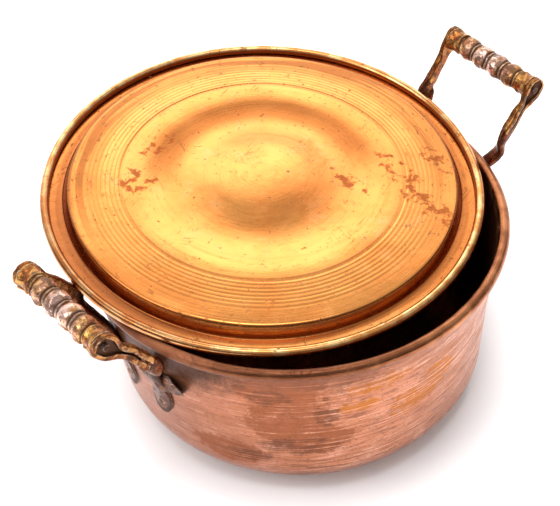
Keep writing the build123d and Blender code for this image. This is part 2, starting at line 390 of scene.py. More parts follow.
def lid_shape(place, outward, radius, height):
    """Waves the lid's plate and, less, its edge, which also sits a little further in."""
    inside = 1 - smoothstep(105 * MM, 118 * MM, radius)
    wave = uneven(Vector((place.x, place.y, 0)), (55, 0.45, 21), (22, 0.10, 23))
    edge = uneven(outward * noise_radius, (50, 0.25, 25))
    lift = blend(edge, wave, inside)
    return place + Z * lift - outward * 0.2 * MM * (1 - inside)


def make_lid():
    lower, upper = both_faces(lid_line(), lid_sheet)
    top = [(p.y + lid_ridges(p.x), p.x, {"upper": 1.0}) for p in upper[:-1]]
    bottom = [(p.y, p.x, {"upper": 0.0}) for p in lower[:-1]]
    # Inside the rolled edge the lower face is plain, so every third point is enough.
    curl_end = 30
    bottom = bottom[:curl_end] + bottom[curl_end:-1:3]
    loop = [(lower[-1].y, 0, {"upper": 0.0})] + bottom[::-1] + top
    loop.append((upper[-1].y, 0, {"upper": 1.0}))
    return lathe("lid_copper_sheet", loop, 256, lid_shape, lid_matrix)


# ---- handles
def handle_matrix(side):
    """From a handle's own axes, X outward, Y along the grip and Z up from the grip's centre."""
    ends = end_names[side]
    along = box_centre(f"{side}_ferrule_{ends[1]}") - box_centre(f"{side}_ferrule_{ends[-1]}")
    along.normalize()
    turn = Matrix((along.cross(Z), along, Z)).transposed()
    return Matrix.Translation(grip_centre[side]) @ turn.to_4x4()


def turned_along_grip(name, side, profile, seed):
    """Stamped piece turned round a grip from (place along it, radius, marks) points."""

    def stamped(place, direction, radius, along):
        off_seam = math.remainder(math.atan2(direction.z, direction.x) - seam_angle, TAU)
        seam = 0.85 * bump(off_seam, 0, 0.06) - 0.35 * bump(off_seam, 0.15, 0.05)
        lump = seam * MM + uneven(place, (5, 0.32, seed), (2, 0.12, seed + 4))
        bend = uneven(direction * 8 * MM, (9, 0.9, seed + along * 40))
        in_bore = radius <= grip_bore
        return place if in_bore else place + direction * lump + Y * bend

    shell = Shell()
    shell.strip(shell.turned(profile, 96, (X, Z, Y), stamped), closed=True)
    return shell.make(name, handle_matrix(side))


def make_grip(side):
    """Stamped beads, each with a thin collar at its start."""
    parts = 24
    # The crevice mark paints shade, with dirt, between the beads and in the bore.
    profile = [(-beads_end, grip_bore, {"crevice": 1.0})]
    for bead in range(bead_count):
        for k in range(parts):
            u = k / parts
            if u < collar_share:
                radius = 5.6 + 0.75 * math.sin(math.pi * u / collar_share)
                crevice = 0.35
            else:
                w = (u - collar_share) / (1 - collar_share)
                radius = 5.25 + 2.0 * math.sin(math.pi * w) ** 0.6
                crevice = 1 - smoothstep(0.0, 0.22, min(w, 1 - w))
            marks = {"crevice": crevice, "silver": bump(bead + u, 2.1, 1.25)}
            profile.append((-beads_end + (bead + u) * bead_pitch, radius * MM, marks))
    profile.append((beads_end, 5.7 * MM, {"crevice": 1.0}))
    profile.append((beads_end, grip_bore, {"crevice": 1.0}))
    return turned_along_grip(f"{side}_grip_beads", side, profile, grip_seed[side])


def make_ferrule(side, end):
    """End sleeve of the grip: a lip against the beads, a waist and a flared mouth."""
    inner = beads_end + 0.05 * MM
    outer = grip_span / 2 - cheek_thickness
    parts = 18
    # The crevice mark paints shade, with dirt, against the beads and in the bore.
    profile = [(end * inner, grip_bore, {"crevice": 1.0})]
    for k in range(parts + 1):
        u = k / parts
        lip, flare = 0.95 * smoothstep(0, 0.12, u), 0.5 * smoothstep(0.6, 1, u)
        radius = 6.0 + lip - 0.5 * bump(u, 0.45, 0.25) + flare
        crevice = 1 - smoothstep(0, 0.1, u)
        profile.append((end * blend(inner, outer, u), radius * MM, {"crevice": crevice}))
    profile.append((end * outer, grip_bore, {"crevice": 1.0}))
    name = f"{side}_ferrule_sleeve_{end_names[side][end]}"
    return turned_along_grip(name, side, profile, ferrule_seed + end)


def make_rod(side):
    """Rod through the grip, with its ends beaten over."""
    tip = grip_span / 2
    half = [(tip + 0.01 * MM, rod_radius)] + [(tip + z * MM, r * MM) for z, r in rod_head]
    # The rod is marked all over for painted shade.
    stations = [(-z, r, {"crevice": 1.0}) for z, r in reversed(half)]
    stations += [(z, r, {"crevice": 1.0}) for z, r in half]

    def beaten(place, direction, radius, along):
        return place + direction * uneven(place, (2, 0.25, 71))

    shell = Shell()
    shell.skin(shell.turned(stations, 32, (X, Z, Y), beaten))
    return shell.make(f"{side}_grip_rod_peened", handle_matrix(side))


def channel_ring(half_width, thickness, slot, depth):
    """Section of a folded strip, slot outward: (across, out, crevice) points round it."""
    corner = min(1.5 * MM, half_width * 0.45, thickness * 0.3)
    lip = 0.25 * MM
    # The slot's faces are marked for painted shade.
    side = [
        (slot * 0.3, -depth, 1.0),
        (slot * 0.8, -depth * 0.9, 1.0),
        (slot, -depth * 0.5, 0.9),
        (slot + lip * 0.2, -lip, 0.4),
        (slot + lip, 0, 0.0),
    ]
    for first, level, crevice in ((90, -corner, 0.0), (0, corner - thickness, 0.1)):
        for k in range(6):
            turn = math.radians(first - 18 * k)
            across = half_width - corner + corner * math.cos(turn)
            side.append((across, level + corner * math.sin(turn), crevice))
    side.append((half_width * 0.4, -thickness, 0.2))
    return side + [(-across, out, crevice) for across, out, crevice in reversed(side)]


def make_arm(side, end):
    """Folded strip: a cupped head closes the grip's end, and its slot narrows down the arm."""
    out = Y * end
    length = arm_length[side]
    seed = arm_seed[side] + end
    parts = 56
    least = 0.02 * MM  # keeps the slot's faces from closing up
    shell = Shell()
    rings = []
    for k in range(parts + 1):
        u = k / parts
        s = -cheek_height + (length + cheek_height) * u
        below_top = 1 - smoothstep(0, 6 * MM, s + cheek_height)
        round_top = math.sqrt(max(0.0, 1 - below_top**2))
        taper = smoothstep(1 * MM, neck_depth, s)
        fold = smoothstep(9 * MM, neck_depth + 3 * MM, s)
        opening = smoothstep(-cheek_height, -cheek_height + 2.5 * MM, s)
        head_half_width = cheek_half_width * blend(0.35, 1.0, round_top)
        half_width = blend(head_half_width, arm_half_width[side], taper)
        half_width *= 1 + 0.16 * bump(u, 0.93, 0.10)
        thickness = blend(cheek_thickness, arm_thickness, fold)
        slot = blend(0.62 * half_width, 0.55 * MM, taper) * opening + least
        depth = blend(1.7, 2.1, taper) * MM * opening + least
        bow = arm_bow[side] * math.sin(math.pi * smoothstep(2 * MM, length, s))
        tear = max(0.0, (u - 0.97) / 0.03)
        ring = []
        for w, o, crevice in channel_ring(half_width, thickness, slot, depth):
            ragged = (0.3 * w + uneven(Vector((w, o, seed)), (1.8, 1.4, seed))) * tear
            place = arm_down * (s + ragged) + arm_across * (w - bow) + out * (grip_span / 2 + o)
            across = arm_across * uneven(place, (7, 0.55, seed))
            outward = out * uneven(place, (6, 0.55, seed + 9))
            ring.append(shell.add(place + across + outward, crevice=crevice))
        rings.append(ring)
    shell.skin(rings)
    return shell.make(f"{side}_arm_sleeve_{end_names[side][end]}", handle_matrix(side))


def spline(points, parts):
    """Points along a smooth line through the given points."""
    ends = [2 * points[0] - points[1], *points, 2 * points[-1] - points[-2]]
    line = []
    for a, b, c, d in zip(ends, ends[1:], ends[2:], ends[3:]):
        slope, bend, twist = c - a, 2 * a - 5 * b + 4 * c - d, 3 * b - a - 3 * c + d
        for k in range(parts):
            t = k / parts
            line.append(b + 0.5 * (slope * t + bend * t**2 + twist * t**3))
    line.append(points[-1])
    return line


def wall_frame(azimuth, height):
    """Point on the pot's outer face with the directions along it, up it and out of it."""
    outward = Vector((math.cos(azimuth), math.sin(azimuth), 0))
    point = outward * wall_radius(height) + Z * height + base_offset(height)
    around = Z.cross(outward)
    up = outward * math.sin(wall_lean) + Z * math.cos(wall_lean)
    normal = outward * math.cos(wall_lean) - Z * math.sin(wall_lean)
    return point, around, up, normal


def foot_azimuth(side, end):
    centre = grip_centre[side]
    return math.atan2(centre.y, centre.x) + end * foot_swing[side]


def foot_frame(side, end, along, up):
    """The wall's frame at a distance along and up it from the middle of a foot."""
    level = foot_height + up * math.cos(wall_lean)
    return wall_frame(foot_azimuth(side, end) + along / wall_radius(level), level)


def near_foot(side, end, along, up, off):
    """Point at a distance along and up the wall from the middle of a foot, and off its face."""
    point, _, _, normal = foot_frame(side, end, along, up)
    return point + normal * off


def petals(side, end):
    """Angle, length and curl of each petal of a foot."""
    outer = math.radians(90 - end * 60)
    inner = math.radians(90 + end * 60)
    lower = math.radians(270 - end * lower_petal_turn[side])
    return [(outer, 22 * MM, 4.2 * MM), (inner, 15 * MM, 1.6 * MM), (lower, 28 * MM, 1.4 * MM)]


def petal_reach(angle, direction, length):
    """How far an ellipse that starts at the foot's centre reaches at an angle."""
    c = math.cos(angle - direction)
    s = math.sin(angle - direction)
    if c <= 0:
        return 0.0
    a, b = length / 2, petal_width / 2
    return 2 * a * b * b * c / (b * b * c * c + a * a * s * s)


def foot_point(side, end, angle, share, outside, seed):
    """Place, and painted shade with dirt, of a point of a foot, at a share of the way out to its edge
    at an angle.
    """
    reach, length, curl = max(
        (petal_reach(angle, turn, length), length, curl) for turn, length, curl in petals(side, end)
    )
    if reach <= foot_hub:
        curl = 0.0
    around = Vector((math.cos(angle), math.sin(angle), 0))
    waver = 1 + 0.06 * noise.noise(Vector((around.x * 2, around.y * 2, seed)))
    distance = max(reach, foot_hub) * waver * share
    flat = around * distance
    hub = hub_height * bump(distance, 0, hub_spread)
    tip = smoothstep(0.62 * length, 1.02 * length, distance)
    off = 0.05 * MM + curl * tip**1.5 + 0.35 * MM * (1 - share**2) + hub
    off += uneven(flat, (6, 0.25, seed)) * share
    off += foot_sheet * (1 - 0.55 * share**6) if outside else -0.75 * hub
    dirt_and_shade = 0.25 + 0.75 * smoothstep(0.75, 1, share) if outside else 1.0
    return near_foot(side, end, flat.x, flat.y, max(off, 0.04 * MM)), dirt_and_shade


def add_foot(shell, side, end, seed):
    """Three-petalled sheet beaten onto the wall, thicker at its hub and with curled tips."""
    parts, edges = 16, []
    for outside in (True, False):
        rings = []
        for k in range(parts + 1):
            ring = []
            for angle in steps_round(132 if k else 1):
                place, dirt_and_shade = foot_point(side, end, angle, k / parts, outside, seed)
                ring.append(shell.add(place, crevice=dirt_and_shade))
            rings.append(ring)
        shell.strip(rings)
        edges.append(rings[-1])
    shell.join(*edges)


def strap_route(side, end):
    """Places that a strap passes: down inside the arm, a knee, in under the rim and down the wall."""
    matrix = handle_matrix(side)
    lateral = Y * end * (grip_span / 2 - arm_thickness / 2)
    in_arm, arm_end, knee = (
        matrix @ (arm_down * (arm_length[side] + past * MM) + lateral) for past in (-8, -1, 4)
    )
    ankle = knee - Z * leg_drop[side]
    landing = near_foot(side, end, 0, landing_above_foot, 3.0 * MM)
    return [
        in_arm,
        arm_end,
        blend(knee, ankle, 0.2),
        blend(ankle, landing, 0.12),
        blend(landing, ankle, 0.12),
        near_foot(side, end, 0, 9 * MM, 2.2 * MM),
        near_foot(side, end, 0, 0, 1.3 * MM),
    ]


def make_bracket(side, end):
    """Strap that leaves the arm, twists, bends in under the rim and spreads into a foot."""
    line = spline(strap_route(side, end), 12)
    last = len(line) - 1
    start_width = handle_matrix(side).to_3x3() @ arm_across
    _, end_width, _, _ = foot_frame(side, end, 0, 0)
    if start_width.dot(end_width) < 0:
        end_width = -end_width
    seed = strap_seed[side] + end
    shell = Shell()
    rings = []
    for k, place in enumerate(line):
        u = k / last
        ahead = (line[min(k + 1, last)] - line[max(k - 1, 0)]).normalized()
        width_axis = blend(start_width, end_width, smoothstep(0.15, 0.62, u))
        width_axis = (width_axis - ahead * width_axis.dot(ahead)).normalized()
        thick_axis = ahead.cross(width_axis)
        out_of_arm = smoothstep(0.06, 0.13, u)
        swell = 1 + 0.22 * bump(u, 0.36, 0.10) + 0.35 * smoothstep(0.85, 1, u)
        half_width = (2.2 + 2.2 * out_of_arm) * MM * swell
        half_thick = (1.2 + 1.3 * out_of_arm - 1.4 * smoothstep(0.8, 1, u)) * MM
        # Painted shade with dirt where the strap leaves the arm and down under the rim.
        dirt_and_shade = min(1.0, 0.2 + 0.5 * bump(u, 0.10, 0.04) + 0.5 * smoothstep(0.55, 0.8, u))
        ring = []
        for angle in steps_round(28):
            c, s = math.cos(angle), math.sin(angle)
            point = place + width_axis * half_width * math.copysign(abs(c) ** 0.75, c)
            point += thick_axis * half_thick * math.copysign(abs(s) ** 0.75, s)
            wide, thick = uneven(point, (5, 0.28, seed)), uneven(point, (3, 0.28, seed))
            ring.append(shell.add(point + width_axis * wide + thick_axis * thick, crevice=dirt_and_shade))
        rings.append(ring)
    shell.skin(rings)
    add_foot(shell, side, end, seed + 0.5)
    return shell.make(f"{side}_bracket_strap_{end_names[side][end]}")


def make_rivets(side):
    """Rivets through the petals and the wall, beaten nearly flush outside and domed inside."""

    def beaten(place, direction, radius, along):
        return place + direction * uneven(place, (2, 0.2, 160))

    shell = Shell()
    # The rivets' shanks are marked for painted shade.
    stations = [
        (off * MM, rivet_radius * share, {"crevice": 0.9 if share < 0.6 else 0.2})
        for off, share in rivet_inside + rivet_outside
    ]
    for end in (-1, 1):
        for angle, length, _ in petals(side, end):
            reach = rivet_place * length
            flat = (reach * math.cos(angle), reach * math.sin(angle))
            centre, *axes = foot_frame(side, end, *flat)
            shell.skin(shell.turned(stations, 22, axes, beaten, centre))
    return shell.make(f"{side}_rivet_heads")


# ---- materials
class Nodes:
    """A node tree, with short calls for its parts."""

    def __init__(self, tree):
        self.tree = tree

    def node(self, kind, inputs=(), **settings):
        made = self.tree.nodes.new(kind)
        for key, value in settings.items():
            setattr(made, key, value)
        for socket, value in zip(made.inputs, inputs):
            self.plug(value, socket)
        return made

    def plug(self, value, socket):
        if isinstance(value, bpy.types.NodeSocket):
            self.tree.links.new(value, socket)
        else:
            socket.default_value = value

    def calc(self, operation, *values):
        return self.node("ShaderNodeMath", values, operation=operation).outputs[0]

    def fold(self, operation, values):
        total = values[0]
        for value in values[1:]:
            total = self.calc(operation, total, value)
        return total

    def times(self, *values):
        return self.fold("MULTIPLY", values)

    def anyof(self, *masks):
        return self.fold("MAXIMUM", masks)

    def sum(self, base, *terms):
        """Base plus each value times its weight."""
        for value, weight in terms:
            base = self.calc("MULTIPLY_ADD", value, weight, base)
        return base

    def vector(self, operation, *values):
        return self.node("ShaderNodeVectorMath", values, operation=operation).outputs

    def along(self, vector, axis):
        return self.vector("DOT_PRODUCT", vector, tuple(axis))["Value"]

    def between(self, value, low, high, first=0.0, last=1.0):
        """Smooth step of a value from low to high."""
        made = self.node("ShaderNodeMapRange", [value, low, high, first, last])
        made.interpolation_type = "SMOOTHSTEP"
        return made.outputs[0]


class Metal(Nodes):
    """A metal's node tree, whose colour is painted in layers."""

    def __init__(self, name, shift=0.0):
        self.material = bpy.data.materials.new(name)
        self.material.use_nodes = True
        super().__init__(self.material.node_tree)
        self.shader = self.tree.nodes["Principled BSDF"]
        self.set("Metallic", 1)
        place = self.node("ShaderNodeTexCoord").outputs["Object"]
        self.x, self.y, self.z = self.node("ShaderNodeSeparateXYZ", [place]).outputs
        self.reach = self.calc("SQRT", self.sum(self.times(self.y, self.y), (self.x, self.x)))
        self.place = self.vector("ADD", place, (shift, shift, shift))[0]
        self.colour = (1.0, 1.0, 1.0)

    def set(self, name, value):
        self.plug(value, self.shader.inputs[name])

    def mark(self, name):
        return self.node("ShaderNodeAttribute", attribute_name=name).outputs["Fac"]

    def noise(self, scale, detail=3, roughness=0.55, place=None):
        made = self.node("ShaderNodeTexNoise")
        place = self.place if place is None else place
        names = ("Vector", "Scale", "Detail", "Roughness")
        for name, value in zip(names, (place, scale, detail, roughness)):
            self.plug(value, made.inputs[name])
        return made.outputs["Fac"]

    def patches(self, low, high, scale, detail=3, roughness=0.55):
        """Mask of the places where a noise rises from low to high."""
        return self.between(self.noise(scale, detail, roughness), low, high)

    def turned(self, across_scale, round_scale, detail=3, roughness=0.6):
        """Noise drawn out round Z, without a seam, on walls and on flats alike."""
        safe = self.calc("MAXIMUM", self.reach, 0.001)
        across = self.calc("SUBTRACT", self.z, self.reach)
        out = [self.times(self.calc("DIVIDE", c, safe), round_scale) for c in (self.x, self.y)]
        place = self.node("ShaderNodeCombineXYZ", [*out, self.times(across, across_scale)])
        return self.noise(1, detail, roughness, place.outputs[0])

    def past(self, low, high, first=0.0, last=1.0):
        """Smooth step of the distance from the axis, from low to high in millimetres."""
        return self.between(self.reach, low * MM, high * MM, first, last)

    def mix(self, factor, first, second):
        made = self.node("ShaderNodeMix", data_type="RGBA", clamp_factor=True)
        self.plug(factor, made.inputs["Factor"])
        for socket, value in ((made.inputs[6], first), (made.inputs[7], second)):
            self.plug((*value, 1) if isinstance(value, tuple) else value, socket)
        return made.outputs[2]

    def paint(self, mask, tone, strength=1.0):
        """Covers the colour so far with a tone, at a strength, where a mask is."""
        self.colour = self.mix(self.times(mask, strength), self.colour, tone)

    def lines(self, direction, scale, stretch, width, seed, spread=0.5):
        """Thin scratches that run along a direction, only in patches."""
        turn = Vector(direction).normalized().to_track_quat("X", "Z").to_matrix().transposed()
        rows = []
        for row, size in zip(turn, (1 / stretch, 1, 1)):
            rows.append(self.sum(seed, (self.along(self.place, row), size)))
        streaks = self.noise(scale, 2, 0.6, self.node("ShaderNodeCombineXYZ", rows).outputs[0])
        off_line = self.calc("ABSOLUTE", self.calc("SUBTRACT", streaks, 0.5))
        patch = self.patches(spread, spread + 0.08, 38 + seed * 3, 2)
        return self.times(self.between(off_line, width, 0.0), patch)

    def stain(self, centre, radii, ragged=0.6, scale=170, soft=0.15):
        """Mask of a ragged patch round a place in the piece's own axes, with radii in millimetres."""
        offset = self.vector("SUBTRACT", self.place, tuple(centre))[0]
        stretched = self.vector("MULTIPLY", offset, tuple(1 / (r * MM) for r in radii))[0]
        away = self.vector("LENGTH", stretched)["Value"]
        torn = self.calc("SUBTRACT", self.noise(scale, 5, 0.65), 0.5)
        return self.between(self.sum(away, (torn, ragged * 4)), 1 + soft, 1 - soft)

    def stains(self, *patches, **look):
        """Mask of several stains, each with its place and radii."""
        return self.anyof(*(self.stain(place, radii, **look) for place, radii in patches))

    def finish(self, roughness, height, bump_distance):
        made = self.node("ShaderNodeBump")
        for name, value in (("Strength", 1), ("Distance", bump_distance), ("Height", height)):
            self.plug(value, made.inputs[name])
        self.set("Base Color", self.colour)
        self.set("Roughness", roughness)
        self.set("Normal", made.outputs["Normal"])
        return self.material


far_direction = (0.53, 0.85, 0)  # over the lid from its front to its far side


def on_body(azimuth, height):
    """Place on the pot's outer wall by azimuth in degrees and height in millimetres."""
    return wall_frame(math.radians(azimuth), height * MM)[0]


def pot_material():
    """Brushed copper, burnt in front, with painted shade on its left by the handle and inside, where
    it is nearly black.
    """
    g = Metal("pot_copper")
    brushed = g.turned(900, 1.6, 4)
    bands = g.turned(160, 1.1)
    streaks = g.turned(620, 6)
    g.colour = g.mix(g.patches(0.35, 0.65, 16, 4, 0.6), (0.60, 0.235, 0.125), (0.48, 0.175, 0.085))
    g.paint(g.patches(0.5, 0.72, 60, 4, 0.6), (0.74, 0.34, 0.22))
    g.paint(g.between(bands, 0.50, 0.70), (0.48, 0.18, 0.09), 0.6)
    g.paint(g.between(brushed, 0.50, 0.60), (0.32, 0.112, 0.055), 0.55)
    g.paint(g.between(brushed, 0.45, 0.34), (0.88, 0.46, 0.31), 0.45)
    g.paint(g.between(streaks, 0.57, 0.63), (0.22, 0.075, 0.04), 0.75)
    g.paint(g.between(streaks, 0.38, 0.31), (0.95, 0.60, 0.46), 0.6)
    # Painted shade darkens the left side of the pot.
    left_side_shade = g.between(g.x, -0.05, -0.125)
    g.paint(left_side_shade, (0.34, 0.12, 0.06), 0.6)
    pinholes = g.patches(0.57, 0.64, 560, 3, 0.7)
    g.paint(pinholes, (0.24, 0.085, 0.045), 0.7)
    # Stains where the copper is burnt, broken up by the brush marks.
    torn = g.sum(g.noise(90, 5, 0.68), (g.calc("SUBTRACT", brushed, 0.5), 1.4))
    rust = g.stains(
        (on_body(-132, 72), (22, 22, 24)),
        (on_body(-125, 55), (20, 20, 15)),
        (on_body(-134, 98), (24, 24, 16)),
        (on_body(-151, 37), (22, 22, 11)),
        ragged=0.3,
    )
    burnt = g.stains(
        (on_body(-137, 92), (12, 12, 7)),
        (on_body(-130, 47), (22, 22, 8)),
        (on_body(-122, 78), (7, 7, 13)),
        (on_body(-146, 36), (16, 16, 6)),
        (on_body(-120, 104), (20, 20, 6)),
        ragged=0.35,
    )
    ochre = g.stains(
        (on_body(-114, 79), (14, 12, 4)),
        (on_body(-107, 94), (18, 14, 6)),
        (on_body(-96, 66), (16, 14, 10)),
        (on_body(-88, 76), (12, 14, 10)),
    )
    rust = g.times(rust, g.between(torn, 0.20, 0.40))
    burnt = g.times(burnt, g.between(torn, 0.40, 0.56))
    ochre = g.times(ochre, g.between(torn, 0.38, 0.46))
    spots = g.times(g.between(torn, 0.60, 0.68), g.patches(0.42, 0.56, 11, 2))
    g.paint(spots, (0.45, 0.17, 0.07), 0.7)
    g.paint(ochre, (0.50, 0.165, 0.028), 0.9)
    g.paint(rust, (0.30, 0.088, 0.032), 0.74)
    g.paint(burnt, (0.17, 0.06, 0.03), 0.8)
    scratch = g.anyof(
        g.lines((0.5, 0.5, 0.7), 420, 30, 0.012, 3),
        g.lines((0.6, 0.2, -0.8), 380, 40, 0.010, 7),
        g.lines((0.2, 0.9, 0.4), 500, 36, 0.010, 11),
    )
    g.paint(scratch, (0.36, 0.12, 0.05), 0.55)
    # Painted shade that hangs under the rim, deepest towards the left handle, and a nearly black
    # painted shade behind that handle.
    hang = g.sum(g.z, (g.noise(28, 5, 0.65), 0.05))
    shade = g.times(g.between(hang, 0.112, 0.136), g.between(g.x, 0.01, -0.06, 0.35, 1))
    g.paint(shade, (0.24, 0.085, 0.045), 0.85)
    shade_behind_handle = g.stains(
        (on_body(-166, 106), (34, 38, 20)),
        (on_body(174, 100), (38, 38, 26)),
        ragged=0.35,
        scale=90,
        soft=0.45,
    )
    g.paint(shade_behind_handle, (0.065, 0.020, 0.008), 0.95)
    g.set("Metallic", g.sum(1.0, (shade_behind_handle, -0.95)))
    # Painted shade in the hollows: under the rim, in the corner below the bead and where the feet
    # sit.
    hollow_shade = g.between(g.mark("curve"), -0.02, -0.14)
    g.paint(hollow_shade, (0.20, 0.07, 0.03), 0.8)
    # The rolled edge is browner than the wall, and painted shade darkens it most by the left handle.
    bead = g.between(g.z, rim_level - 6 * MM, rim_level - 3.5 * MM)
    bead_tone = g.mix(g.patches(0.4, 0.62, 70, 4), (0.32, 0.11, 0.045), (0.54, 0.21, 0.09))
    # Painted shade on the rolled edge by the left handle.
    bead_tone = g.mix(g.between(g.x, 0.02, -0.08, 0, 0.8), bead_tone, (0.15, 0.05, 0.025))
    g.paint(bead, bead_tone)
    # Inside, painted shade under the lid, over dark tarnish, makes the metal nearly black; it is
    # redder near the rim.
    inner = g.mark("inner")
    near_rim = g.between(g.sum(g.z, (g.noise(30, 4), 0.03)), 0.080, 0.118)
    inside_tone = g.mix(g.patches(0.4, 0.7, 26, 4), (0.07, 0.028, 0.015), (0.15, 0.055, 0.028))
    g.paint(inner, g.mix(near_rim, inside_tone, (0.34, 0.13, 0.06)))
    g.set("Specular IOR Level", 0.08)
    g.set("Anisotropic", 0.35)
    speck = g.noise(420, 3, 0.6)
    roughness = g.sum(0.2, (brushed, 0.2), (g.anyof(rust, ochre, spots), 0.22), (inner, 0.18))
    height = g.times(brushed, 0.8)
    height = g.sum(height, (speck, 0.25), (scratch, -0.9), (streaks, 0.7), (g.noise(120), 0.9))
    return g.finish(roughness, height, 0.2 * MM)


def lid_material():
    """Bright warm copper with turned rings, darker between its band and its rolled edge, with painted
    shade on its far and left sides and painted light on its near flange.
    """
    g = Metal("lid_copper")
    fine = g.turned(1300, 1.2)
    rings = g.turned(240, 0.9, 3, 0.55)
    blotch = g.noise(75, 5, 0.65)
    g.colour = g.mix(g.patches(0.35, 0.65, 22, 4, 0.6), (0.91, 0.365, 0.095), (0.87, 0.29, 0.07))
    g.paint(g.between(blotch, 0.52, 0.78), (0.95, 0.46, 0.18), 0.5)
    g.paint(g.between(rings, 0.53, 0.68), (0.74, 0.25, 0.055), 0.5)
    g.paint(g.between(fine, 0.56, 0.72), (0.66, 0.22, 0.05), 0.4)
    # Painted shade makes the far side darker: the band's outer part, an arc in the valley and rings
    # near the step.
    far = g.along(g.place, far_direction)
    far_side_shade = g.between(far, -0.06, 0.03)
    g.paint(g.times(g.past(93, 100), far_side_shade), (0.46, 0.16, 0.035), 0.6)
    arc = g.times(g.past(44, 56), g.past(73, 62), g.between(far, -0.01, 0.025))
    g.paint(arc, (0.36, 0.11, 0.025), 0.75)
    brown_rings = g.times(g.between(rings, 0.47, 0.55), g.past(99, 103), far_side_shade)
    g.paint(brown_rings, (0.26, 0.08, 0.02), 0.7)
    # Darker lines in the turned grooves of the band, stronger on the far side.
    first_groove = lid_shoulder / MM
    turns = g.sum(-TAU * lid_shoulder / ridge_pitch, (g.reach, TAU / ridge_pitch))
    grooves = g.times(
        g.between(g.calc("COSINE", turns), 0.35, 0.95),
        g.past(first_groove - 1, first_groove + 1),
        g.past(106, 103),
        g.between(g.noise(40), 0.30, 0.60, 0.25, 0.75),
        g.between(far, -0.05, 0.05, 0.35, 1),
    )
    g.paint(grooves, (0.40, 0.13, 0.03))
    # The step down from the band is darker red-brown, and the flange round it is brighter, with
    # painted light on its near side.
    flange = g.between(g.sum(g.reach, (g.noise(45), 3 * MM)), 120.2 * MM, 122.6 * MM)
    step_tone = g.mix(g.between(rings, 0.4, 0.6), (0.30, 0.085, 0.02), (0.46, 0.14, 0.035))
    flange_tone = g.mix(g.patches(0.4, 0.6, 60, 4), (0.90, 0.33, 0.085), (1.0, 0.44, 0.13))
    flange_tone = g.mix(g.between(far, -0.115, -0.085), flange_tone, (0.66, 0.21, 0.05))
    g.paint(g.past(111.6, 112.6), g.mix(flange, step_tone, flange_tone), 0.9)
    edge_tone = g.mix(g.patches(0.4, 0.62, 90, 4), (0.76, 0.32, 0.10), (1.0, 0.66, 0.30))
    g.paint(g.past(123.6, 124.4), edge_tone, 0.8)
    # Painted shade on the lid's edge on its left side.
    left_side_shade = g.times(g.between(g.x, -0.075, -0.12), g.past(114, 117))
    g.paint(left_side_shade, (0.26, 0.08, 0.03), 0.6)
    # Red stains, spots and short dark marks that run round.
    torn = g.noise(130, 6, 0.7)
    red = g.stains(
        ((-0.058, 0.042, 0.004), (13, 9, 20)),
        ((-0.030, 0.060, 0.004), (12, 6, 20)),
        ((0.058, -0.074, 0.004), (8, 22, 20)),
        ((0.064, -0.046, 0.004), (6, 18, 20)),
        ((0.036, -0.036, 0.004), (6, 13, 20)),
        ((0.088, -0.054, 0.004), (6, 12, 20)),
    )
    red = g.times(red, g.between(torn, 0.48, 0.56))
    spots = g.times(g.between(torn, 0.63, 0.69), g.patches(0.46, 0.60, 13, 2))
    dashes = g.between(g.turned(420, 16, 3, 0.65), 0.625, 0.67)
    dashes = g.times(dashes, g.past(60, 90, 0.15, 1), 0.8)
    dark = g.anyof(g.patches(0.635, 0.675, 300, 4, 0.7), dashes)
    scratch = g.anyof(
        g.lines((0.9, 0.3, 0), 260, 40, 0.006, 2, 0.60),
        g.lines((0.25, 0.9, 0), 300, 45, 0.006, 5, 0.60),
        g.lines((0.8, -0.6, 0), 280, 50, 0.005, 9, 0.62),
    )
    g.paint(red, (0.42, 0.105, 0.025), 0.85)
    g.paint(spots, (0.50, 0.17, 0.04), 0.6)
    g.paint(dark, (0.22, 0.08, 0.03), 0.7)
    g.paint(scratch, (0.50, 0.17, 0.05), 0.5)
    # Painted shade in the lid's hollows.
    hollow_shade = g.between(g.mark("curve"), -0.015, -0.12)
    g.paint(hollow_shade, (0.40, 0.13, 0.035), 0.5)
    # Painted highlights, over some wear, on the edges that stand out.
    wear_and_glint = g.between(g.mark("curve"), 0.08, 0.25)
    g.paint(wear_and_glint, (0.98, 0.70, 0.34), 0.5)
    # The lower face is duller and browner, up to where it turns into the rolled edge.
    lower = g.times(g.calc("SUBTRACT", 1.0, g.mark("upper")), g.past(124.5, 123.5))
    g.paint(lower, (0.34, 0.15, 0.07), 0.8)
    g.set("Anisotropic", 0.25)
    stained = g.anyof(red, spots, dark)
    patchy = g.between(blotch, 0.4, 0.7)
    roughness = g.sum(0.15, (fine, 0.08), (stained, 0.25), (lower, 0.2), (patchy, 0.06))
    height = g.times(fine, 0.45)
    height = g.sum(height, (g.noise(110), 0.9), (scratch, -0.8), (g.noise(700, 2), 0.15))
    return g.finish(roughness, height, 0.1 * MM)


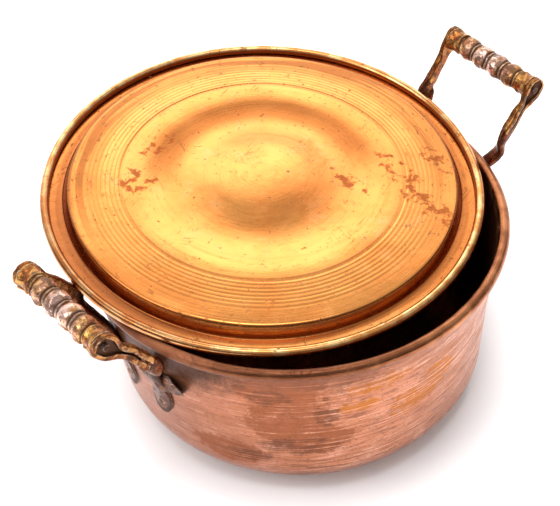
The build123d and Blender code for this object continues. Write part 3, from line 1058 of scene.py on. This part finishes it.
def brass_material(name, clean, seed):
    """Cast brass, with painted shade and dirt in its crevices and hollows, dirt in patches, and
    painted highlights over wear on what stands out.
    """
    g = Metal(name, seed)
    red_brown = (clean[0] * 0.55, clean[1] * 0.36, clean[2] * 0.36)
    rubbed_glint_tone = tuple(min(1.0, c * 1.3 + 0.25) for c in clean)
    g.colour = g.mix(g.patches(0.38, 0.60, 140, 4, 0.6), clean, red_brown)
    fine = g.noise(520, 4, 0.65)
    silver = g.times(g.mark("silver"), g.patches(0.3, 0.55, 230, 4))
    g.paint(silver, (0.92, 0.64, 0.54))
    # Painted shade with dirt in the crevices, painted shade in the hollows, and dirt in pits and
    # crusts.
    grime_and_shade = g.between(g.sum(g.mark("crevice"), (fine, 0.7)), 0.55, 1.05)
    hollow_shade = g.between(g.mark("curve"), -0.02, -0.15)
    pits = g.times(g.patches(0.57, 0.66, 800, 3, 0.7), 0.8)
    crust = g.times(g.patches(0.48, 0.57, 200, 5, 0.7), 0.85)
    dirt_and_shade = g.anyof(grime_and_shade, hollow_shade, pits, crust)
    g.paint(dirt_and_shade, (0.050, 0.018, 0.009), 0.92)
    verdigris = g.times(dirt_and_shade, g.patches(0.58, 0.72, 310))
    g.paint(verdigris, (0.11, 0.075, 0.05), 0.35)
    # Painted highlights, over some wear, on the edges that stand out.
    wear_and_glint = g.times(g.between(g.mark("curve"), 0.10, 0.32), g.between(fine, 0.35, 0.6))
    g.paint(wear_and_glint, rubbed_glint_tone, 0.8)
    g.set("Specular IOR Level", 0.2)
    g.set("Metallic", g.sum(1.0, (dirt_and_shade, -0.3)))
    roughness = g.sum(0.14, (fine, 0.16), (dirt_and_shade, 0.25))
    height = g.sum(g.times(g.noise(1500, 2), 0.3), (fine, 0.6), (dirt_and_shade, -0.5))
    return g.finish(roughness, height, 0.22 * MM)


def iron_material():
    g = Metal("wire_iron")
    cloud = g.noise(300, 4, 0.6)
    rust = g.patches(0.5, 0.62, 90, 5, 0.7)
    g.colour = g.mix(g.between(cloud, 0.4, 0.6), (0.25, 0.23, 0.21), (0.36, 0.33, 0.30))
    g.paint(rust, (0.16, 0.06, 0.03), 0.8)
    return g.finish(g.sum(0.35, (cloud, 0.2), (rust, 0.3)), g.noise(900), 0.2 * MM)


# ---- pieces
def mark_curve(obj):
    """Stores how far each point stands out of the faces round it, as the attribute curve."""
    mesh = obj.data
    count = len(mesh.vertices)
    places = np.zeros(count * 3, np.float32)
    normals = np.zeros(count * 3, np.float32)
    mesh.vertices.foreach_get("co", places)
    mesh.vertices.foreach_get("normal", normals)
    places, normals = places.reshape(-1, 3), normals.reshape(-1, 3)
    ends = np.zeros(len(mesh.edges) * 2, np.int32)
    mesh.edges.foreach_get("vertices", ends)
    first, second = ends.reshape(-1, 2).T
    step = places[second] - places[first]
    step /= np.maximum(np.linalg.norm(step, axis=1, keepdims=True), 1e-9)
    total = np.zeros(count)
    shares = np.zeros(count)
    for points, direction in ((first, -step), (second, step)):
        np.add.at(total, points, (direction * normals[points]).sum(1))
        np.add.at(shares, points, 1)
    attribute = mesh.attributes.new("curve", "FLOAT", "POINT")
    attribute.data.foreach_set("value", (total / np.maximum(shares, 1)).astype(np.float32))


def place_piece(piece, material, body, node):
    """Dresses a piece, and lets it stand for a CAD node on that node's body."""
    mark_curve(piece)
    piece.data.materials.append(material)
    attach(piece, body)
    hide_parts(node)


copper = pot_material()
gold = lid_material()
iron = iron_material()
brass = brass_material("grip_brass", (0.66, 0.33, 0.095), 3.0)
arm_brass = brass_material("arm_brass", (0.46, 0.21, 0.06), 7.0)
# A much darker copy of the brass for the straps and rods: painted shade under the rim and in the
# grips' ends.
shaded_strap_brass = brass_material("shaded_strap_brass", (0.20, 0.072, 0.03), 11.0)
rivet_metal = brass_material("rivet_copper", (0.34, 0.16, 0.08), 17.0)

place_piece(make_pot(), copper, "pot", "pot_body")
place_piece(make_lid(), gold, "lid", "lid_body")
pot_wire = make_wire("pot_rim_iron", pot_bead_circle, pot_wire_radius, rim_level)
lid_wire = make_wire("lid_rim_iron", lid_wire_circle, lid_wire_radius, 0, lid_matrix)
place_piece(pot_wire, iron, "pot", "pot_rim_wire")
place_piece(lid_wire, iron, "lid", "lid_rim_wire")

for side in ("right", "left"):
    place_piece(make_grip(side), brass, "pot", f"{side}_grip")
    place_piece(make_rod(side), shaded_strap_brass, "pot", f"{side}_grip_rod")
    for end in (1, -1):
        where = end_names[side][end]
        sleeve, arm, bracket = make_ferrule(side, end), make_arm(side, end), make_bracket(side, end)
        place_piece(sleeve, brass, "pot", f"{side}_ferrule_{where}")
        place_piece(arm, arm_brass, "pot", f"{side}_arm_{where}")
        place_piece(bracket, shaded_strap_brass, "pot", f"{side}_bracket_{where}")
    place_piece(make_rivets(side), rivet_metal, "pot", f"{side}_foot_rivets")


# ---- stage, light and camera
def make_floor():
    mesh = bpy.data.meshes.new("floor")
    bm = bmesh.new()
    bmesh.ops.create_grid(bm, x_segments=1, y_segments=1, size=12)
    bm.to_mesh(mesh)
    bm.free()
    floor = new_object("floor", mesh)
    material = bpy.data.materials.new("floor_paper")
    material.use_nodes = True
    shader = material.node_tree.nodes["Principled BSDF"]
    shader.inputs["Base Color"].default_value = (0.93, 0.92, 0.93, 1)
    shader.inputs["Roughness"].default_value = 0.9
    shader.inputs["Specular IOR Level"].default_value = 0.1
    floor.data.materials.append(material)


def make_world():
    """Soft room: a white backdrop behind the object, a pale ceiling, and dim sides."""
    world = bpy.data.worlds.new("studio")
    bpy.context.scene.world = world
    world.use_nodes = True
    sky = Nodes(world.node_tree)
    direction = sky.node("ShaderNodeTexCoord").outputs["Generated"]

    def facing(axis):
        """Cosine of the angle between a direction and an axis."""
        return sky.along(direction, Vector(axis).normalized())

    up = facing(Z)
    level = sky.calc("SQRT", sky.calc("MAXIMUM", sky.sum(1.0, (sky.times(up, up), -1)), 0.0001))
    behind = sky.calc("DIVIDE", facing(far_direction), level)
    backdrop = sky.times(sky.between(behind, 0.25, 0.92, 0, 1.3), sky.between(up, 0.80, 0.68))
    glow = sky.between(facing((0.43, 0.60, 0.68)), 0.945, 0.995, 0, 1.0)
    ceiling = sky.between(up, 0.45, 0.75, 0, 0.42)
    overhead = sky.between(up, 0.955, 0.985, 0, 3.2)
    side_panel = sky.between(facing((-0.75, 0.25, 0.75)), 0.93, 0.97, 0, 3.0)
    base = 0.17
    total = sky.fold("ADD", (base, backdrop, glow, ceiling, overhead, side_panel))
    background = sky.tree.nodes["Background"]
    sky.plug((1, 1, 1, 1), background.inputs["Color"])
    sky.plug(total, background.inputs["Strength"])


def softbox(name, place, target, size, power):
    """Square lamp that isn't seen in the metal, where the room is."""
    light = bpy.data.lights.new(name, "AREA")
    light.shape = "RECTANGLE"
    light.size = light.size_y = size
    light.energy = power
    obj = new_object(name, light)
    obj.location = place
    aim = Vector(target) - Vector(place)
    obj.rotation_euler = aim.to_track_quat("-Z", "Y").to_euler()
    obj.visible_glossy = False


def make_camera():
    camera = new_object("camera", bpy.data.cameras.new("camera"))
    right = Vector((0.7652, -0.6429, -0.0331))
    forward = Vector((0.4483, 0.5692, -0.6892)).normalized()
    up = right.cross(forward).normalized()
    right = forward.cross(up).normalized()
    turn = Matrix((right, up, -forward)).transposed()
    # The place is in rim radii from the middle of the rim.
    place = Vector((-2.8077, -3.4673, 4.0118)) * rim_radius + Z * rim_level
    camera.matrix_world = Matrix.Translation(place) @ turn.to_4x4()
    camera.data.lens = 83.5
    camera.data.sensor_width = 36
    bpy.context.scene.camera = camera


make_floor()
make_world()
softbox("overhead", (-0.15, 0.25, 2.2), (0, 0, 0), 1.6, 62)
softbox("front_fill", (-1.6, -1.0, 1.2), (0, 0, 0.05), 1.0, 10)
make_camera()
bpy.context.scene.view_settings.view_transform = "Standard"
